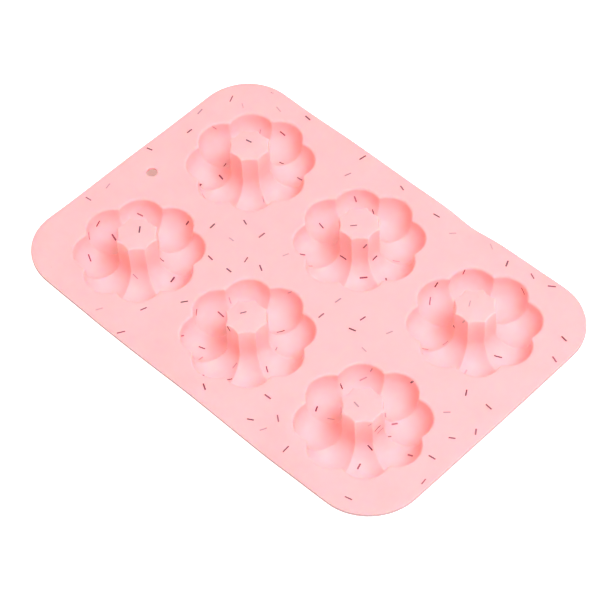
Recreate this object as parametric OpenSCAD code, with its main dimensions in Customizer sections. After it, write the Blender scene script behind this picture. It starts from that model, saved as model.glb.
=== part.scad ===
// Flower-ring mould: one flexible moulding with a flat sheet, six lobed ring cups, a raised
// hollow post in the middle of each cup, a hanging hole, and short coloured flecks set in it.
// The moulding is drawn as zones that meet face to face: for each cup a cell of the sheet,
// a trough and a post. The origin is under the middle of the mould, on the surface it stands
// on, with +X along the long side and +Z up.

/* [Sheet] */
// Length of the sheet
sheet_l = 280; // [262:1:340]
// Width of the sheet
sheet_w = 190; // [174:1:240]
// Thickness of the sheet
sheet_t = 1.8; // [1.2:0.1:2.6]
// Corner radius of the sheet
corner_r = 32; // [12:1:45]

/* [Cups] */
// Sheet left between neighbouring cups along the length
web_x = 8.4; // [4:0.2:12]
// Sheet left between neighbouring cups across the width
web_y = 11.4; // [4:0.2:18]
// Radius of the circle that the balls of a cup stand on
ring_r = 23.8; // [19.8:0.1:28.6]
// Radius of one ball, inside the cup
ball_r = 13.2; // [11:0.1:14]
// Depth of the upright wall between the sheet's top face and the balls
upright = 3.8; // [3:0.1:8]
// Thickness of the cup and post walls
wall = 1.8; // [1.2:0.1:2.4]
// How much the underside of each ball is flattened to stand on
foot_flat = 0.3; // [0.2:0.05:0.6]

/* [Posts] */
// Height of the posts above the sheet
post_rise = 13.5; // [4:0.5:24]
// Thickness of the closed top of each post
post_cap = 1.8; // [1.2:0.1:3]

/* [Hanging hole] */
// Diameter of the hanging hole
hole_d = 6.6; // [4:0.1:9]
// Distance from the short edge to the centre of the hanging hole
hole_in = 18.2; // [12:0.1:19]
// Width of the ring of sheet round the hanging hole
eyelet_rim = 3.2; // [2:0.1:4]

/* [Flecks] */
// Length of one fleck
fleck_l = 4.4; // [3:0.1:6]
// Width of one fleck
fleck_w = 0.8; // [0.5:0.05:1.2]
// Depth that a fleck is set into the sheet
fleck_depth = 0.5; // [0.3:0.05:0.9]
// Side of the square patch of sheet that holds at most one fleck
fleck_patch = 15; // [12:0.5:30]
// Share of the patches that hold a fleck
fleck_share = 0.6; // [0.1:0.05:1]
// Draw of the scatter
fleck_seed = 27; // [1:1:99]

/* [Hidden] */
$fn = 96;
cups_x = 3;                              // cups along the length
cups_y = 2;                              // cups across the width
balls = 8;                               // balls round one cup
half_step = 180 / balls;                 // from a ball to the ridge beside it
over = 1;                                // how far a cutter runs past what it cuts

ball_z = ball_r + wall - foot_flat;      // height of the balls' centres
sheet_top = ball_z + upright;
sheet_bottom = sheet_top - sheet_t;
post_top = sheet_top + post_rise;
ridge_r = ring_r * cos(half_step);       // where two neighbouring balls meet
cup_r = ring_r + ball_r;                 // outer reach of a cup's cavity
pitch_x = 2 * (cup_r + wall) + web_x;    // from cup to cup along the length
pitch_y = 2 * (cup_r + wall) + web_y;    // from cup to cup across the width
hole_x = hole_in - sheet_l / 2;
eyelet_r = hole_d / 2 + eyelet_rim;

fleck_gap = 0.6;                         // least distance from a fleck to any edge
fleck_reach = fleck_l / 2 + fleck_gap;   // from a fleck's centre to what it must clear
fleck_drift = 0.5;                       // share of a patch that a fleck's centre may move in
patches_x = floor(sheet_l / fleck_patch);
patches_y = floor(sheet_w / fleck_patch);
patches = patches_x * patches_y;
draw_x = rands(-0.5, 0.5, patches, fleck_seed);
draw_y = rands(-0.5, 0.5, patches, fleck_seed + 1);
draw_turn = rands(0, 180, patches, fleck_seed + 2);
draw_tone = rands(0, 1, patches, fleck_seed + 3);
draw_keep = rands(0, 1, patches, fleck_seed + 4);
tone_ends = [0, 0.36, 0.68, 1.01];       // plum up to the first, then crimson, then mauve
cap_turn = [20, 75, 130, 50, 160, 105];  // lie of the fleck on each post's top
cap_offset = 3.4;                        // from the post's axis to that fleck

silicone = "#fbcbce";
cup_pink = "#fabfc0";
plum = "#7a2a46";
crimson = "#c23e5c";
mauve = "#c98aa0";

// Middle of cup k, counted along the length, the -Y row first
function cup_at(k) = [((k % cups_x) - (cups_x - 1) / 2) * pitch_x,
                      (floor(k / cups_x) - (cups_y - 1) / 2) * pitch_y];

// Least and greatest corner of cup k's cell, which runs past the sheet where it has no neighbour
function cell_low(k) = [k % cups_x == 0 ? -sheet_l : cup_at(k).x - pitch_x / 2,
                        floor(k / cups_x) == 0 ? -sheet_w : cup_at(k).y - pitch_y / 2];
function cell_high(k) = [k % cups_x == cups_x - 1 ? sheet_l : cup_at(k).x + pitch_x / 2,
                         floor(k / cups_x) == cups_y - 1 ? sheet_w : cup_at(k).y + pitch_y / 2];

// Centre of the fleck in patch n
function fleck_at(n) = [
    (n % patches_x + 0.5 + fleck_drift * draw_x[n]) * sheet_l / patches_x - sheet_l / 2,
    (floor(n / patches_x) + 0.5 + fleck_drift * draw_y[n]) * sheet_w / patches_y - sheet_w / 2];

// Whether a fleck centred on p keeps clear of cup k and every cup after it
function clear_of_cups(p, k = 0) =
    k >= cups_x * cups_y
    || (norm(p - cup_at(k)) > cup_r + fleck_reach && clear_of_cups(p, k + 1));

// How far p lies inside the sheet's rounded edge
function inside_edge(p) =
    let (dx = abs(p.x) - (sheet_l / 2 - corner_r), dy = abs(p.y) - (sheet_w / 2 - corner_r))
    corner_r - (dx > 0 && dy > 0 ? norm([dx, dy]) : max(dx, dy));

function fleck_fits(n) =
    draw_keep[n] < fleck_share
    && clear_of_cups(fleck_at(n))
    && norm(fleck_at(n) - [hole_x, 0]) > eyelet_r + fleck_reach
    && inside_edge(fleck_at(n)) > fleck_reach;

function in_tone(draw, tone) = draw >= tone_ends[tone] && draw < tone_ends[tone + 1];

module at_cup(k, z = 0) translate([cup_at(k).x, cup_at(k).y, z]) children();

module round_the_ring() for (i = [0 : balls - 1]) rotate(i * 360 / balls) translate([ring_r, 0, 0]) children();

// The lobed outline of a cup, filled in, from z = 0 to h, with balls of radius r
module flower(r, h) {
    round_the_ring() cylinder(r = r, h = h);
    cylinder(r = ridge_r, h = h);
}

// The fluted post that the ring of upright walls leaves in the middle, from z = 0 to h
module fluted(r, h) difference() {
    cylinder(r = ridge_r, h = h);
    translate([0, 0, -over]) round_the_ring() cylinder(r = r, h = h + 2 * over);
}

module plate(l, w, r, h) linear_extrude(h) union() {
    square([l - 2 * r, w], center = true);
    square([l, w - 2 * r], center = true);
    for (x = [-1, 1], y = [-1, 1]) translate([x * (l / 2 - r), y * (w / 2 - r)]) circle(r);
}

// One fleck lying flat, its top face at z = 0, made deeper by extra
module fleck(turn, extra = 0) rotate(turn) translate([-fleck_l / 2, -fleck_w / 2, -fleck_depth])
    cube([fleck_l, fleck_w, fleck_depth + extra]);

module sheet_flecks(tone, extra = 0) for (n = [0 : patches - 1])
    if (fleck_fits(n) && in_tone(draw_tone[n], tone))
        translate([fleck_at(n).x, fleck_at(n).y, sheet_top]) fleck(draw_turn[n], extra);

module cap_fleck(k, extra = 0) at_cup(k, post_top)
    rotate(cap_turn[k] + 90) translate([cap_offset, 0, 0]) fleck(cap_turn[k], extra);

// The sheet round cup k, halfway to its neighbours, with the upright walls round the lobed mouth
module sheet(k) color(silicone) difference() {
    union() {
        intersection() {
            translate([0, 0, sheet_bottom]) plate(sheet_l, sheet_w, corner_r, sheet_t);
            translate([cell_low(k).x, cell_low(k).y, sheet_bottom - over])
                cube([cell_high(k).x - cell_low(k).x, cell_high(k).y - cell_low(k).y, sheet_t + 2 * over]);
        }
        at_cup(k, ball_z) flower(ball_r + wall, sheet_top - ball_z - sheet_t / 2);
    }
    at_cup(k, ball_z - over) flower(ball_r, upright + 2 * over);
    translate([hole_x, 0, sheet_bottom - over]) cylinder(r = eyelet_r, h = sheet_t + 2 * over);
    for (tone = [0 : 2]) sheet_flecks(tone, over);
}

module hanging_eyelet() color(silicone) translate([hole_x, 0, sheet_bottom]) difference() {
    cylinder(r = eyelet_r, h = sheet_t);
    translate([0, 0, -over]) cylinder(d = hole_d, h = sheet_t + 2 * over);
}

module cup(k) color(cup_pink) at_cup(k, ball_z) difference() {
    round_the_ring() sphere(ball_r + wall);
    round_the_ring() sphere(ball_r);
    translate([-2 * cup_r, -2 * cup_r, 0]) cube([4 * cup_r, 4 * cup_r, 2 * cup_r]);
    translate([-2 * cup_r, -2 * cup_r, -ball_z - 2 * cup_r]) cube([4 * cup_r, 4 * cup_r, 2 * cup_r]);
}

module post(k) color(silicone) difference() {
    at_cup(k, ball_z) fluted(ball_r, post_top - ball_z);
    at_cup(k, ball_z - over) fluted(ball_r + wall, post_top - post_cap - ball_z + over);
    cap_fleck(k, over);
}

// All the flecks of one tone: those in the sheet and those in two of the posts
module flecks(tone, shade) color(shade) {
    sheet_flecks(tone);
    for (k = [tone, tone + 3]) cap_fleck(k);
}

sheet(0);  // sheet_1
sheet(1);  // sheet_2
sheet(2);  // sheet_3
sheet(3);  // sheet_4
sheet(4);  // sheet_5
sheet(5);  // sheet_6
hanging_eyelet();
cup(0);  // cup_1
cup(1);  // cup_2
cup(2);  // cup_3
cup(3);  // cup_4
cup(4);  // cup_5
cup(5);  // cup_6
post(0);  // post_1
post(1);  // post_2
post(2);  // post_3
post(3);  // post_4
post(4);  // post_5
post(5);  // post_6
flecks(0, plum);  // plum_flecks
flecks(1, crimson);  // crimson_flecks
flecks(2, mauve);  // mauve_flecks
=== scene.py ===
import math
import random
import bmesh
import bpy
from mathutils import Matrix, Vector
from mathutils.bvhtree import BVHTree
from mathutils.geometry import delaunay_2d_cdt


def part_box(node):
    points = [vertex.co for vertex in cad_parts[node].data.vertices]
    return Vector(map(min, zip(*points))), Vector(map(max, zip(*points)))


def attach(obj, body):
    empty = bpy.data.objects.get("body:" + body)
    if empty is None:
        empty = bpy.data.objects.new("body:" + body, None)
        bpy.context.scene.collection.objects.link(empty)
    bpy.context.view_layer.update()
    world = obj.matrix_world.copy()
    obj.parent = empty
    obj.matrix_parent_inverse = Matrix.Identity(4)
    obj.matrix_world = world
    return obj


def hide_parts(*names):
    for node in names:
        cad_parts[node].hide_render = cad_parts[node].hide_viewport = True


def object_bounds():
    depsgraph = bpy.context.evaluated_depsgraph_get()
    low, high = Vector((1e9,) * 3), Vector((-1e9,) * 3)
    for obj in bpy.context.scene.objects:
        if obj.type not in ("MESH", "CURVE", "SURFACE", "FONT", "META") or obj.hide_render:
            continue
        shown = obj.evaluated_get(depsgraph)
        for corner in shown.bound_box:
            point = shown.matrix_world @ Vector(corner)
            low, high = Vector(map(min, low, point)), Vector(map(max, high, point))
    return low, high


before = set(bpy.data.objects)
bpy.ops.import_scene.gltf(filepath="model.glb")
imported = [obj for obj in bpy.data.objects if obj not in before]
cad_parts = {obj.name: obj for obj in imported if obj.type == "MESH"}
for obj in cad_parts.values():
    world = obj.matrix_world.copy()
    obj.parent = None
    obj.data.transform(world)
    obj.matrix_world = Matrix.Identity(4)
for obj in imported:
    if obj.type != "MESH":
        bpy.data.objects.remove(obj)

cad_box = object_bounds()


# ---------------------------------------------------------------- view and studio
# The mould stands on a pale table and is seen from above one corner, down its length.
# One large soft lamp, cool, gives the cups their shade, and the room is bright and warm.
mould_middle = (cad_box[0] + cad_box[1]) / 2
look_at = Vector((0.0058, -0.0094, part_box("hanging_eyelet")[1].z))
view_back = Vector((0.446, -0.4257, 0.7873)).normalized()
view_right = Vector((0.7192, 0.6941, -0.0322)).normalized()
view_up = view_back.cross(view_right).normalized()
view_distance = 1.309

camera_data = bpy.data.cameras.new("camera")
camera_data.lens = 142.8
camera_data.sensor_width = 36
camera = bpy.data.objects.new("camera", camera_data)
bpy.context.collection.objects.link(camera)
camera.matrix_world = Matrix.Translation(look_at + view_back * view_distance) @ Matrix(
    (view_right, view_up, view_back)).transposed().to_4x4()
bpy.context.scene.camera = camera

bpy.ops.object.select_all(action="DESELECT")
table_gap = 0.0002
bpy.ops.mesh.primitive_plane_add(size=6, location=(0, 0, cad_box[0].z - table_gap))
table = bpy.context.object
table.name = "table"
table_white = bpy.data.materials.new("table_white")
table_white.use_nodes = True
nodes, links = table_white.node_tree.nodes, table_white.node_tree.links
table_shader = nodes["Principled BSDF"]
table_shader.inputs["Base Color"].default_value = (0.93, 0.93, 0.93, 1)
table_shader.inputs["Roughness"].default_value = 0.9
table_shader.inputs["Emission Color"].default_value = (1, 1, 1, 1)
# The bare table glows to a burnt-out white, except in a painted shadow under the mould,
# where the glow is turned down.
shade_middle = (-0.020, 0.010, 0)
shade_half = (0.135, 0.079)
shade_blur = 0.012
shade_glow, bare_glow = 0.08, 0.75
place = nodes.new("ShaderNodeTexCoord")
from_shade = nodes.new("ShaderNodeVectorMath")
from_shade.operation = "SUBTRACT"
from_shade.inputs[1].default_value = shade_middle
axes = nodes.new("ShaderNodeSeparateXYZ")
glow = nodes.new("ShaderNodeMath")
glow.operation = "MAXIMUM"
links.new(place.outputs["Object"], from_shade.inputs[0])
links.new(from_shade.outputs["Vector"], axes.inputs["Vector"])
for i, axis in enumerate("XY"):
    reach = nodes.new("ShaderNodeMath")
    reach.operation = "ABSOLUTE"
    fade = nodes.new("ShaderNodeMapRange")
    fade.interpolation_type = "SMOOTHSTEP"
    fade.inputs["From Min"].default_value = shade_half[i] - shade_blur
    fade.inputs["From Max"].default_value = shade_half[i]
    fade.inputs["To Min"].default_value = shade_glow
    fade.inputs["To Max"].default_value = bare_glow
    links.new(axes.outputs[axis], reach.inputs[0])
    links.new(reach.outputs["Value"], fade.inputs["Value"])
    links.new(fade.outputs["Result"], glow.inputs[i])
links.new(glow.outputs["Value"], table_shader.inputs["Emission Strength"])
table.data.materials.append(table_white)

key_aside, key_forward, key_above = 0.72, 0.76, 2.1
towards_camera = Vector((view_back.x, view_back.y, 0)).normalized()
key_data = bpy.data.lights.new("key_lamp", "AREA")
key_data.shape = "DISK"
key_data.size = 1.2
key_data.energy = 47
key_data.color = (0.96, 0.98, 1.12)
key_lamp = bpy.data.objects.new("key_lamp", key_data)
bpy.context.collection.objects.link(key_lamp)
key_place = mould_middle + key_aside * view_right + key_forward * towards_camera
key_place.z += key_above
key_lamp.location = key_place
key_lamp.rotation_euler = (mould_middle - key_place).to_track_quat("-Z", "Y").to_euler()

# What the camera sees behind the table is a plain white wall.
room = bpy.data.worlds.new("room")
room.use_nodes = True
nodes, links = room.node_tree.nodes, room.node_tree.links
room_light = nodes["Background"]
room_light.inputs["Color"].default_value = (1, 0.91, 0.74, 1)
room_light.inputs["Strength"].default_value = 0.45
white_wall = nodes.new("ShaderNodeBackground")
white_wall.inputs["Color"].default_value = (1, 1, 1, 1)
seen = nodes.new("ShaderNodeLightPath")
wall_or_light = nodes.new("ShaderNodeMixShader")
links.new(seen.outputs["Is Camera Ray"], wall_or_light.inputs["Fac"])
links.new(room_light.outputs["Background"], wall_or_light.inputs[1])
links.new(white_wall.outputs["Background"], wall_or_light.inputs[2])
links.new(wall_or_light.outputs["Shader"], nodes["World Output"].inputs["Surface"])
bpy.context.scene.world = room
bpy.context.scene.view_settings.view_transform = "Standard"


# ---------------------------------------------------------------- silicone moulding
# The sheet, its six ring cups and their posts are one piece of soft silicone, pressed
# in a two-part steel tool, so every wall is as thick as the sheet.
hole_low, hole_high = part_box("hanging_eyelet")
sheet_bottom, sheet_top = hole_low.z, hole_high.z
sheet_length = cad_box[1].x - cad_box[0].x
sheet_width = cad_box[1].y - cad_box[0].y
wall = sheet_top - sheet_bottom
cup_low, cup_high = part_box("cup_1")
ball_height = cup_high.z
post_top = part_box("post_1")[1].z
ball_radius = 0.0132
ring_radius = (cup_high.x - cup_low.x) / 2 - wall - ball_radius
balls = 8
half_step = math.pi / balls
columns = 160
crowding = 1.8
ridge_softness = math.radians(1.5)
section_steps = 12
mouth_radius = 0.0014
post_edge_radius = 0.0008
fillet_steps = 4
underside_fillet = 0.0006
collar_flat = 0.002
collar_radius = ring_radius + ball_radius + wall + collar_flat
hair = 1e-5
weld = 1e-6
cup_middles = []
for k in range(1, 7):
    low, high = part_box("cup_%d" % k)
    cup_middles.append(((low.x + high.x) / 2, (low.y + high.y) / 2))


def select_where(mesh, test):
    """Selects the vertices that pass the test, and the edges and faces between them."""
    bpy.ops.object.mode_set(mode="EDIT")
    bpy.ops.mesh.select_mode(type="VERT")
    bpy.ops.mesh.select_all(action="DESELECT")
    bpy.ops.object.mode_set(mode="OBJECT")
    for v in mesh.vertices:
        v.select = test(v.co)
    bpy.ops.object.mode_set(mode="EDIT")
    bpy.ops.mesh.select_mode(type="VERT")


def select_edges_where(mesh, test):
    """Selects the edges whose two ends pass the test together, and nothing else."""
    bpy.ops.object.mode_set(mode="EDIT")
    bpy.ops.mesh.select_mode(type="EDGE")
    bpy.ops.mesh.select_all(action="DESELECT")
    shape = bmesh.from_edit_mesh(mesh)
    for edge in shape.edges:
        edge.select_set(test(edge.verts[0].co, edge.verts[1].co))
    bmesh.update_edit_mesh(mesh)


def corner_at(mesh, x, z):
    select_where(mesh, lambda p: abs(p.x - x) < hair and abs(p.z - z) < hair)


def extrude_by(x, y, z):
    bpy.ops.mesh.extrude_vertices_move(TRANSFORM_OT_translate={"value": (x, y, z)})


def cup_skin(name, ball, sheet_z, post_z, mouth_fillet, post_fillet):
    """One face of a cup's wall: a section line spun round the post, then pinched into balls."""
    inner, outer = ring_radius - ball, ring_radius + ball
    bpy.ops.object.select_all(action="DESELECT")
    bpy.ops.mesh.primitive_circle_add(
        vertices=4 * section_steps, radius=ball, location=(ring_radius, 0, ball_height),
        rotation=(math.pi / 2, 0, 0))
    skin = bpy.context.object
    skin.name = name
    bpy.ops.object.transform_apply()
    mesh = skin.data
    select_where(mesh, lambda p: p.z > ball_height + hair)
    bpy.ops.mesh.delete(type="VERT")
    corner_at(mesh, inner, ball_height)
    extrude_by(0, 0, post_z - ball_height)
    extrude_by(-inner, 0, 0)
    corner_at(mesh, outer, ball_height)
    extrude_by(0, 0, sheet_z - ball_height)
    extrude_by(collar_radius - outer, 0, 0)
    corner_at(mesh, inner, post_z)
    bpy.ops.mesh.bevel(affect="VERTICES", offset=post_fillet, segments=fillet_steps)
    corner_at(mesh, outer, sheet_z)
    bpy.ops.mesh.bevel(affect="VERTICES", offset=mouth_fillet, segments=fillet_steps)
    select_where(mesh, lambda p: abs(p.x - inner) < hair)
    bpy.ops.mesh.subdivide(number_cuts=3)
    select_where(mesh, lambda p: p.x > outer + mouth_fillet - hair)
    bpy.ops.mesh.subdivide(number_cuts=2)
    bpy.ops.mesh.select_all(action="SELECT")
    bpy.ops.mesh.spin(steps=columns, angle=2 * math.pi, center=(0, 0, 0), axis=(0, 0, 1))
    bpy.ops.mesh.select_all(action="SELECT")
    bpy.ops.mesh.remove_doubles(threshold=weld)
    bpy.ops.object.mode_set(mode="OBJECT")
    for v in mesh.vertices:
        reach = math.hypot(v.co.x, v.co.y)
        turn = math.atan2(v.co.y, v.co.x)
        lobe = round(turn / (2 * half_step)) * 2 * half_step
        from_ridge = half_step * (1 - abs(turn - lobe) / half_step) ** crowding
        turn = lobe + math.copysign(half_step - from_ridge, turn - lobe)
        soft_turn = half_step - math.hypot(from_ridge, ridge_softness)
        middle = ring_radius * math.cos(soft_turn)
        half_width = math.sqrt(ball ** 2 - (ring_radius * math.sin(soft_turn)) ** 2)
        if reach < inner:
            reach *= (middle - half_width) / inner
        elif reach < outer:
            reach = middle + (reach - ring_radius) * half_width / ball
        elif reach < outer + mouth_fillet:
            reach += middle + half_width - outer
        else:
            share = (collar_radius - reach) / (collar_radius - outer - mouth_fillet)
            reach = collar_radius - share * (collar_radius - middle - half_width - mouth_fillet)
        if v.co.z < ball_height:
            v.co.z = ball_height + (v.co.z - ball_height) * half_width / ball
        v.co.x = reach * math.cos(turn)
        v.co.y = reach * math.sin(turn)
    return skin


upper_cup = cup_skin("upper_cup", ball_radius, sheet_top, post_top, mouth_radius, post_edge_radius)
lower_cup = cup_skin(
    "lower_cup", ball_radius + wall, sheet_bottom, post_top - wall, underside_fillet, underside_fillet)
select_where(lower_cup.data, lambda p: True)
bpy.ops.mesh.bisect(
    plane_co=(0, 0, 0), plane_no=(0, 0, 1), use_fill=True, clear_inner=True, threshold=weld)
bpy.ops.object.mode_set(mode="OBJECT")
zones = []
for x, y in cup_middles:
    for pattern in (upper_cup, lower_cup):
        zone = bpy.data.objects.new(pattern.name, pattern.data.copy())
        bpy.context.collection.objects.link(zone)
        zone.data.transform(Matrix.Translation((x, y, 0)))
        zones.append(zone)
bpy.data.objects.remove(upper_cup)
bpy.data.objects.remove(lower_cup)

# The sheet's rounded edge, a band that turns over from the top face to the underside.
corner_radius = 0.032
corner_steps = 18
edge_step = 0.0014
edge_round = 0.0005
edge_band = 0.0025
straight_x = sheet_length / 2 - corner_radius
straight_y = sheet_width / 2 - corner_radius


def from_edge(p):
    """How far a point lies inside the sheet's rounded outline."""
    over_x, over_y = abs(p[0]) - straight_x, abs(p[1]) - straight_y
    if over_x > 0 and over_y > 0:
        return corner_radius - math.hypot(over_x, over_y)
    return corner_radius - max(over_x, over_y)


bpy.ops.object.select_all(action="DESELECT")
bpy.ops.mesh.primitive_plane_add(size=1, location=(0, 0, sheet_top))
moulding = bpy.context.object
moulding.name = "silicone_moulding"
moulding.scale = (sheet_length, sheet_width, 1)
bpy.ops.object.transform_apply()
select_where(moulding.data, lambda p: True)
bpy.ops.mesh.bevel(affect="VERTICES", offset=corner_radius, segments=corner_steps)
for long_way, stretch in ((0, straight_x), (1, straight_y)):
    for side in (-1, 1):
        select_where(moulding.data, lambda p: abs(p[long_way]) < stretch + hair
                     and p[1 - long_way] * side > 0)
        bpy.ops.mesh.subdivide(number_cuts=round(stretch / edge_step))
select_where(moulding.data, lambda p: True)
bpy.ops.mesh.inset(thickness=edge_band)
bpy.ops.mesh.delete(type="ONLY_FACE")
bpy.ops.mesh.select_all(action="SELECT")
bpy.ops.mesh.duplicate_move(TRANSFORM_OT_translate={"value": (0, 0, -wall)})
select_where(moulding.data, lambda p: from_edge(p) < weld)
bpy.ops.mesh.bridge_edge_loops()
bpy.ops.mesh.select_all(action="SELECT")
bpy.ops.mesh.normals_make_consistent(inside=False)
select_edges_where(moulding.data, lambda a, b: from_edge(a) < weld and from_edge(b) < weld
                   and abs(a.z - b.z) < weld)
bpy.ops.mesh.bevel(affect="EDGES", offset=edge_round, segments=3)
bpy.ops.object.mode_set(mode="OBJECT")

# The hanging hole's wall, with a narrow flat ring above and below.
hole_middle = (hole_low + hole_high) / 2
hole_radius = 0.0033
hole_round = 0.0003
hole_ring = 1.5  # outer radius of the flat ring, in hole radii
bpy.ops.object.select_all(action="DESELECT")
bpy.ops.mesh.primitive_cylinder_add(
    vertices=48, radius=hole_radius, depth=wall, location=hole_middle, end_fill_type="NOTHING")
hole_wall = bpy.context.object
bpy.ops.object.transform_apply()
for z in (sheet_top, sheet_bottom):
    select_where(hole_wall.data, lambda p: abs(p.z - z) < weld)
    bpy.ops.mesh.extrude_edges_move()
    bpy.ops.transform.resize(value=(hole_ring, hole_ring, 1), center_override=(hole_middle.x, 0, z))
bpy.ops.mesh.select_all(action="SELECT")
bpy.ops.mesh.normals_make_consistent(inside=False)
select_edges_where(hole_wall.data, lambda a, b: abs(a.z - b.z) < weld and all(
    abs(math.hypot(p.x - hole_middle.x, p.y) - hole_radius) < weld for p in (a, b)))
bpy.ops.mesh.bevel(affect="EDGES", offset=hole_round, segments=3)
bpy.ops.object.mode_set(mode="OBJECT")
zones.append(hole_wall)

bpy.ops.object.select_all(action="DESELECT")
for zone in zones:
    zone.select_set(True)
moulding.select_set(True)
bpy.context.view_layer.objects.active = moulding
bpy.ops.object.join()

# The flat of the sheet, above and below: even triangles on a net of points, which run up to
# the cups, the hole and the edge. Fill alone would leave slivers, and the sheet couldn't wave.
net = 0.004
net_row = net * 0.87
clear = 0.0026


def clear_of_all(x, y):
    """How far a point is from every loop that bounds the flat."""
    from_cups = min(math.hypot(x - cx, y - cy) for cx, cy in cup_middles) - collar_radius
    from_hole = math.hypot(x - hole_middle.x, y) - hole_ring * hole_radius
    return min(from_cups, from_hole, from_edge((x, y)) - edge_band)


net_x = [net * (i - round(sheet_length / net / 2)) for i in range(round(sheet_length / net) + 1)]
net_y = [net_row * (j - round(sheet_width / net_row / 2))
         for j in range(round(sheet_width / net_row) + 1)]
net_points = [Vector((x + (j % 2) * net / 2, y)) for j, y in enumerate(net_y) for x in net_x
              if clear_of_all(x + (j % 2) * net / 2, y) > clear]
shape = bmesh.new()
shape.from_mesh(moulding.data)
keep_inside, same_point = 1, 1e-7
for z in (sheet_top, sheet_bottom):
    open_edges = [edge for edge in shape.edges
                  if edge.is_boundary and abs(edge.verts[0].co.z - z) < hair]
    rim = list(dict.fromkeys(v for edge in open_edges for v in edge.verts))
    number = {v: i for i, v in enumerate(rim)}
    flat = delaunay_2d_cdt(
        [v.co.xy for v in rim] + net_points, [[number[v] for v in edge.verts] for edge in open_edges],
        [], keep_inside, same_point)
    spots, triangles = flat[0], flat[2]
    corners = rim + [shape.verts.new((p.x, p.y, z)) for p in spots[len(rim):]]
    for triangle in triangles:
        middle = sum((spots[i] for i in triangle), Vector((0, 0))) / 3
        if clear_of_all(middle.x, middle.y) > 0:
            shape.faces.new([corners[i] for i in triangle])
shape.to_mesh(moulding.data)
shape.free()
select_where(moulding.data, lambda p: True)
bpy.ops.mesh.select_mode(type="VERT")
bpy.ops.mesh.select_all(action="SELECT")
bpy.ops.mesh.remove_doubles(threshold=weld)
bpy.ops.mesh.normals_make_consistent(inside=False)
bpy.ops.object.mode_set(mode="OBJECT")

# Out of its tool the sheet lies almost flat: corners lift a little, long edges sag between cups.
# A bend is where it is along and across the sheet, how far it lifts, and how wide it spreads.
give_width = 0.014
bends = (
    (-0.130, -0.086, 0.0018, 0.034), (0.128, -0.082, 0.0011, 0.028), (0.142, 0.015, -0.0006, 0.040),
    (0.065, -0.097, -0.0023, 0.045), (-0.045, -0.097, -0.0017, 0.045), (0.040, 0.097, -0.0026, 0.013),
    (-0.050, 0.097, 0.0008, 0.030), (0.100, 0.096, 0.0009, 0.030), (-0.122, 0.084, 0.0011, 0.026),
    (-0.142, -0.010, 0.0007, 0.034))
for v in moulding.data.vertices:
    from_cups = min(math.hypot(v.co.x - x, v.co.y - y) for x, y in cup_middles) - collar_radius
    give = min(1, max(0, from_cups / give_width))
    give *= give * (3 - 2 * give)
    v.co.z += give * sum(height * math.exp(-((v.co.x - x) ** 2 + (v.co.y - y) ** 2) / spread ** 2)
                         for x, y, height, spread in bends)
bpy.ops.object.shade_smooth()

silicone = bpy.data.materials.new("pink_silicone")
silicone.use_nodes = True
nodes, links = silicone.node_tree.nodes, silicone.node_tree.links
shader = nodes["Principled BSDF"]
shader.inputs["Subsurface Weight"].default_value = 1.0
shader.inputs["Subsurface Radius"].default_value = (1.0, 0.4, 0.25)
shader.inputs["Subsurface Scale"].default_value = 0.0020
shader.inputs["IOR"].default_value = 1.42
shader.inputs["Specular IOR Level"].default_value = 0.35
# A faint red glow, painted light: it lifts the deep shade in the cups to coral, standing in for light that
# passes through the silicone and bounces inside the cups.
shader.inputs["Emission Color"].default_value = (1, 0.16, 0.08, 1)
shader.inputs["Emission Strength"].default_value = 0.13
place = nodes.new("ShaderNodeTexCoord")
cloud = nodes.new("ShaderNodeTexNoise")
cloud.inputs["Scale"].default_value = 60
cloud.inputs["Detail"].default_value = 3
tint = nodes.new("ShaderNodeValToRGB")
tint.color_ramp.elements[0].position = 0.3
tint.color_ramp.elements[0].color = (0.985, 0.542, 0.556, 1)
tint.color_ramp.elements[1].position = 0.7
tint.color_ramp.elements[1].color = (0.988, 0.557, 0.571, 1)
links.new(place.outputs["Object"], cloud.inputs["Vector"])
links.new(cloud.outputs["Fac"], tint.inputs["Fac"])
links.new(tint.outputs["Color"], shader.inputs["Base Color"])
sheen_cloud = nodes.new("ShaderNodeMapRange")
sheen_cloud.inputs["To Min"].default_value = 0.42
sheen_cloud.inputs["To Max"].default_value = 0.54
links.new(cloud.outputs["Fac"], sheen_cloud.inputs["Value"])
links.new(sheen_cloud.outputs["Result"], shader.inputs["Roughness"])
grain = nodes.new("ShaderNodeTexNoise")
grain.inputs["Scale"].default_value = 2200
grain.inputs["Detail"].default_value = 2
satin = nodes.new("ShaderNodeBump")
satin.inputs["Strength"].default_value = 0.06
satin.inputs["Distance"].default_value = 0.0002
links.new(place.outputs["Object"], grain.inputs["Vector"])
links.new(grain.outputs["Fac"], satin.inputs["Height"])
links.new(satin.outputs["Normal"], shader.inputs["Normal"])
moulding.data.materials.append(silicone)

# The sheet's edge all round gets a darker, duller pink: painted shade on its side face and rounded rim.
edge_shade = bpy.data.materials.new("edge_painted_shade")
edge_shade.use_nodes = True
edge_shade_shader = edge_shade.node_tree.nodes["Principled BSDF"]
edge_shade_shader.inputs["Base Color"].default_value = (0.50, 0.33, 0.33, 1)
edge_shade_shader.inputs["Roughness"].default_value = 0.6
edge_shade_shader.inputs["Specular IOR Level"].default_value = 0.3
moulding.data.materials.append(edge_shade)
for face in moulding.data.polygons:
    if from_edge(face.center) < edge_round / 2:
        face.material_index = 1
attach(moulding, "root")
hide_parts(*[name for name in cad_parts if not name.endswith("flecks")])


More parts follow.
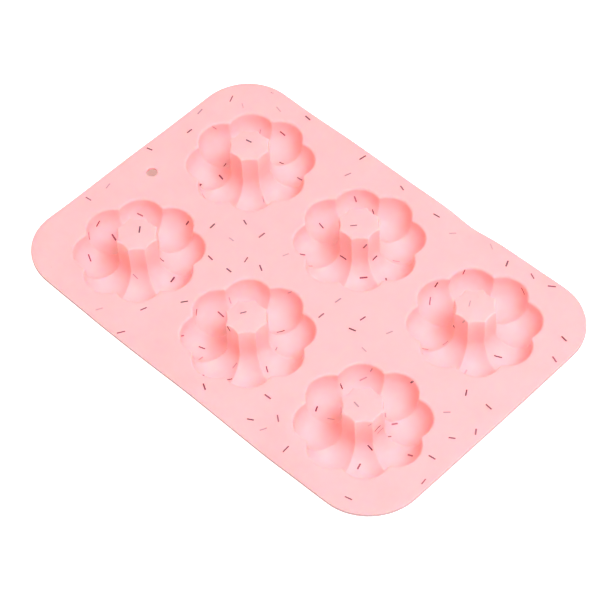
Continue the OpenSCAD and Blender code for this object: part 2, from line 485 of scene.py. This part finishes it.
# ---------------------------------------------------------------- flecks
# Short sticks of coloured silicone, stirred into the pink before it was pressed, so they lie
# flat in its skin: dark where they reach the surface, and veiled where they lie deeper.
fleck_length, fleck_width = 0.0044, 0.0008
fleck_corner = 0.0003
fleck_thickness = 0.0003
fleck_stands_proud = 0.00002
tones = {
    "plum": ((0.20, 0.03, 0.055), (0.33, 0.10, 0.13), 96),
    "crimson": ((0.34, 0.045, 0.08), (0.48, 0.17, 0.21), 96),
    "mauve": ((0.58, 0.29, 0.33), (0.75, 0.42, 0.45), 110),
}

bpy.ops.object.select_all(action="DESELECT")
bpy.ops.mesh.primitive_grid_add(x_subdivisions=6, y_subdivisions=1, size=1)
stick = bpy.context.object
stick.scale = (fleck_length, fleck_width, 1)
bpy.ops.object.transform_apply()
select_where(stick.data, lambda p: abs(p.x) > fleck_length / 2 - hair
             and abs(p.y) > fleck_width / 2 - hair)
bpy.ops.mesh.bevel(affect="VERTICES", offset=fleck_corner, segments=2)
bpy.ops.object.mode_set(mode="OBJECT")


def bars_of(node):
    """Middle of the top and long direction of each bar in a CAD node of flecks."""
    shape = bmesh.new()
    shape.from_mesh(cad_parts[node].data)
    bmesh.ops.remove_doubles(shape, verts=shape.verts, dist=weld)
    waiting = dict.fromkeys(shape.verts)
    while waiting:
        bar, found = [], [waiting.popitem()[0]]
        while found:
            v = found.pop()
            bar.append(v)
            for edge in v.link_edges:
                other = edge.other_vert(v)
                if other in waiting:
                    del waiting[other]
                    found.append(other)
        middle = sum((v.co for v in bar), Vector()) / len(bar)
        top = max(v.co.z for v in bar)
        corners = [v.co for v in bar if v.co.z > top - hair]
        spans = sorted((a - b for i, a in enumerate(corners) for b in corners[:i]),
                       key=lambda span: span.length)
        long_side = spans[2]  # after the two short sides
        yield Vector((middle.x, middle.y, top)), long_side.normalized()
    shape.free()


skin = BVHTree.FromObject(moulding, bpy.context.evaluated_depsgraph_get())
draw = random.Random(8)
level = 0.98
steady = 0.8
tries = 4
cup_floor_depth = 0.004
# The level faces of the sheet and the posts' tops already have the CAD's flecks.
skin_faces = [f for f in moulding.data.polygons
              if not (f.normal.z > level and f.center.z > sheet_top - cup_floor_depth)]
# Blender's tools may number the faces differently each time, so they are put in order by place.
skin_faces.sort(key=lambda f: sorted(tuple(moulding.data.vertices[i].co) for i in f.vertices))
skin_areas = [f.area for f in skin_faces]
taken = [middle for tone in tones for middle, along in bars_of(tone + "_flecks")]


def lies_flat(middle, along, out):
    """Whether the skin stays near enough level for a stick to lie on it."""
    ends = [skin.find_nearest(middle + side * along)[1] for side in (-fleck_length / 2, fleck_length / 2)]
    return min(end.dot(out) for end in ends) > steady


def scattered(count):
    """Places in the walls, cups and underside, spread more evenly than by chance alone."""
    while count:
        spots = [face.center.copy() for face in draw.choices(skin_faces, skin_areas, k=tries)]
        middle = max(spots, key=lambda p: min((p - other).length for other in taken))
        middle, out = skin.find_nearest(middle)[:2]
        along = out.orthogonal().normalized()
        along.rotate(Matrix.Rotation(draw.uniform(0, math.pi), 3, out))
        if lies_flat(middle, along, out):
            taken.append(middle)
            count -= 1
            yield middle, along, out


length_varies, width_varies = (0.85, 1.12), (0.95, 1.25)
for tone, (dark, pale, count) in tones.items():
    places = [(middle, along, Vector((0, 0, 1))) for middle, along in bars_of(tone + "_flecks")]
    places += scattered(count)
    shape = bmesh.new()
    for middle, along, out in places:
        one = stick.data.copy()
        across = out.cross(along)
        one.transform(Matrix.Translation(middle) @ Matrix((along, across, out)).transposed().to_4x4()
                      @ Matrix.Diagonal((draw.uniform(*length_varies), draw.uniform(*width_varies), 1, 1)))
        shape.from_mesh(one)
        bpy.data.meshes.remove(one)
    flecks = bpy.data.objects.new("flecks_" + tone, bpy.data.meshes.new("flecks_" + tone))
    shape.to_mesh(flecks.data)
    shape.free()
    bpy.context.collection.objects.link(flecks)
    bpy.ops.object.select_all(action="DESELECT")
    flecks.select_set(True)
    bpy.context.view_layer.objects.active = flecks
    wrap = flecks.modifiers.new("wrap", "SHRINKWRAP")
    wrap.target = moulding
    wrap.wrap_mode = "ABOVE_SURFACE"
    wrap.offset = fleck_stands_proud
    bpy.ops.object.modifier_apply(modifier="wrap")
    depth = flecks.modifiers.new("depth", "SOLIDIFY")
    depth.thickness = fleck_thickness
    depth.offset = -1
    bpy.ops.object.modifier_apply(modifier="depth")
    bpy.ops.object.shade_smooth_by_angle(angle=math.radians(40))

    colour = bpy.data.materials.new(tone + "_fleck")
    colour.use_nodes = True
    nodes, links = colour.node_tree.nodes, colour.node_tree.links
    shader = nodes["Principled BSDF"]
    shader.inputs["Roughness"].default_value = 0.5
    shader.inputs["Specular IOR Level"].default_value = 0.3
    each = nodes.new("ShaderNodeNewGeometry")
    range_of_tone = nodes.new("ShaderNodeValToRGB")
    range_of_tone.color_ramp.elements[0].color = (*dark, 1)
    range_of_tone.color_ramp.elements[1].color = (*pale, 1)
    links.new(each.outputs["Random Per Island"], range_of_tone.inputs["Fac"])
    links.new(range_of_tone.outputs["Color"], shader.inputs["Base Color"])
    flecks.data.materials.append(colour)
    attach(flecks, "root")
    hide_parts(tone + "_flecks")
bpy.data.objects.remove(stick)
